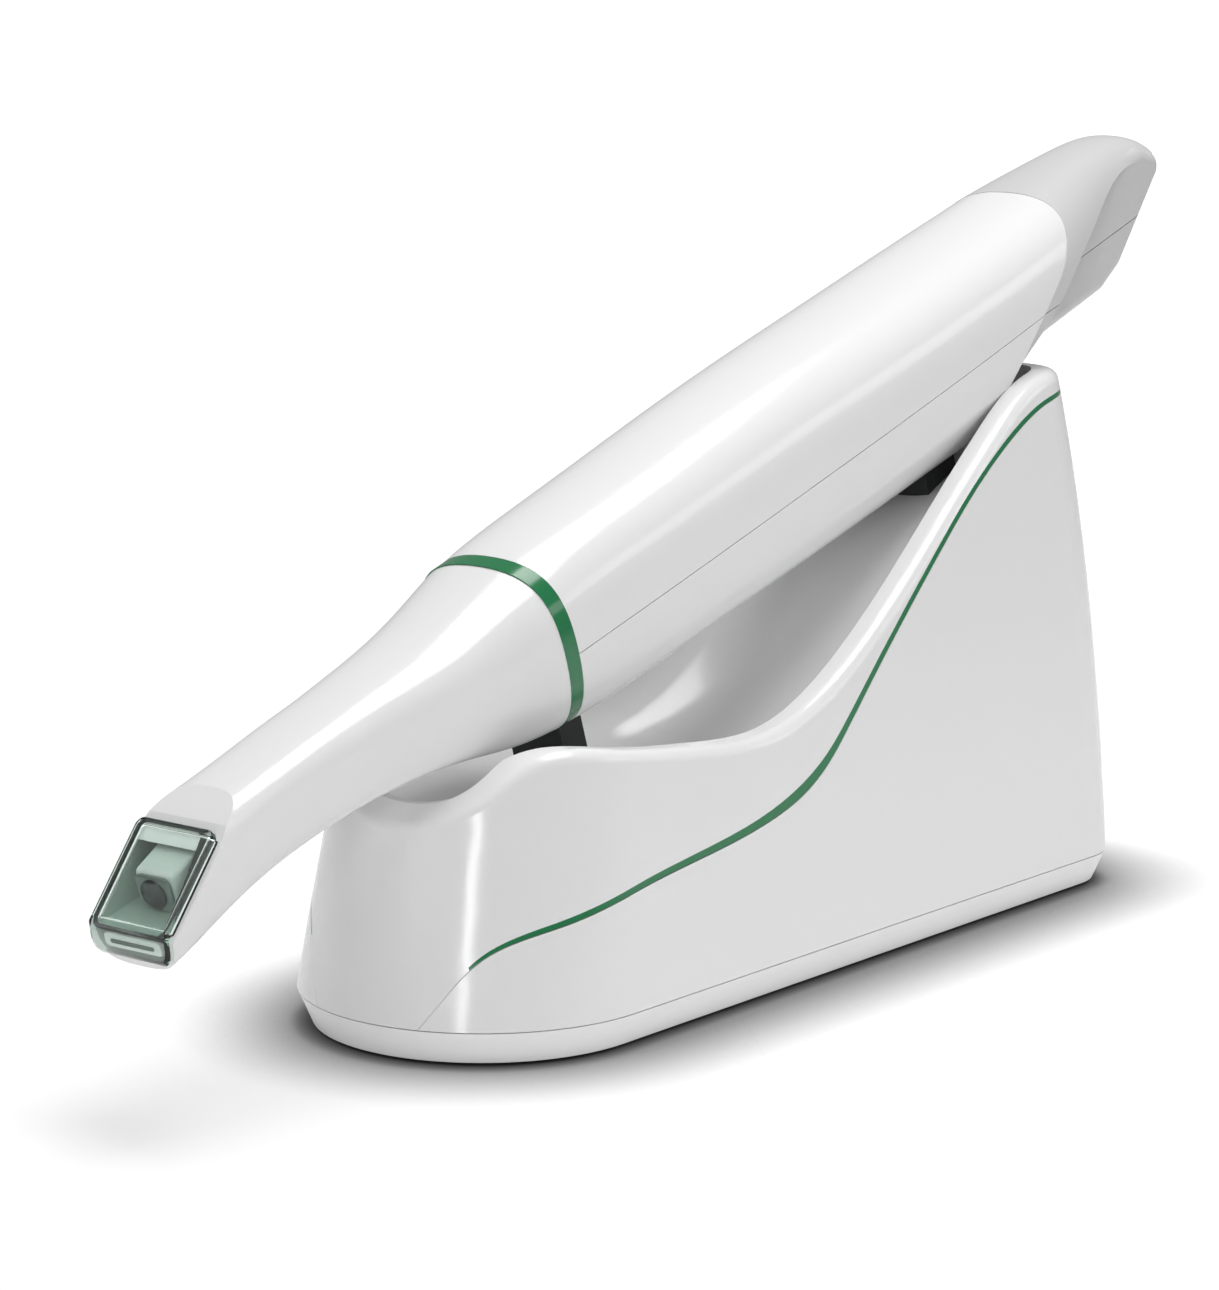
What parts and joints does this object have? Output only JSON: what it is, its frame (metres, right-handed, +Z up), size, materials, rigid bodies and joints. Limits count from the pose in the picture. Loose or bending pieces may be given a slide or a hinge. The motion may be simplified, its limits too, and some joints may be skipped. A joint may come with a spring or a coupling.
{
  "type": "intraoral scanner",
  "caption": "Cordless intraoral scanner with a windowed pull-off tip, green collar and grey rear cap, lying in a drafted white desktop cradle with green inlay lines.",
  "frame": {"origin": "centre of the cradle's footprint, on the face of the pad that rests on the table", "axes": "+Z up, +X along the cradle from its low nose under the scanner's tip to its tall rear, +Y across"},
  "size_m": [0.2883, 0.0648, 0.1407],
  "materials": {
    "white_shell": "gloss",
    "green_trim": "gloss",
    "grey_cap": "satin",
    "base_white": "satin",
    "pad_rubber": "matt",
    "rest_rubber": "matt",
    "button_rubber": "matt",
    "steel": "brushed",
    "optics_black": "satin",
    "window_glass": "clear",
    "lens_glass": "dark",
    "circuit_board": "matt",
    "battery_case": "matt",
    "contact_metal": "polished"
  },
  "bodies": {
    "cradle": {"accent_ring": "green_trim", "accent_strip_left": "green_trim", "accent_strip_right": "green_trim", "ballast_plate": "steel", "base_pad": "pad_rubber", "base_plate": "base_white", "base_screws": "steel", "battery": "battery_case", "battery_contacts": "contact_metal", "button_switch": "circuit_board", "camera_barrel": "optics_black", "camera_housing": "optics_black", "camera_lens": "lens_glass", "cradle_side_shell": "white_shell", "cradle_top_shell": "white_shell", "cradle_tray": "white_shell", "front_rest": "rest_rubber", "housing_lower": "white_shell", "housing_upper": "white_shell", "main_board": "circuit_board", "nose_tube": "optics_black", "rear_cap_lower": "grey_cap", "rear_cap_upper": "grey_cap", "rear_rest": "rest_rubber", "tip_seal": "pad_rubber"},
    "tip": {"tip_sleeve": "white_shell", "tip_window": "window_glass", "window_frame": "optics_black"},
    "button": {"scan_button": "button_rubber"},
    "cover": {"battery_cover": "grey_cap"}
  },
  "joints": [
    {"name": "tip_pull", "type": "slide", "parent": "cradle", "child": "tip", "axis": [-0.9503, 0, -0.3113], "range_m": [0, 0.018]},
    {"name": "button_press", "type": "slide", "parent": "cradle", "child": "button", "axis": [-0.3113, 0, 0.9503], "range_m": [0, 0.0008], "stiffness_N_per_m": 800, "springref_m": -0.0005},
    {"name": "cover_slide", "type": "slide", "parent": "cradle", "child": "cover", "axis": [0.9503, 0, 0.3113], "range_m": [0, 0.06]}
  ]
}
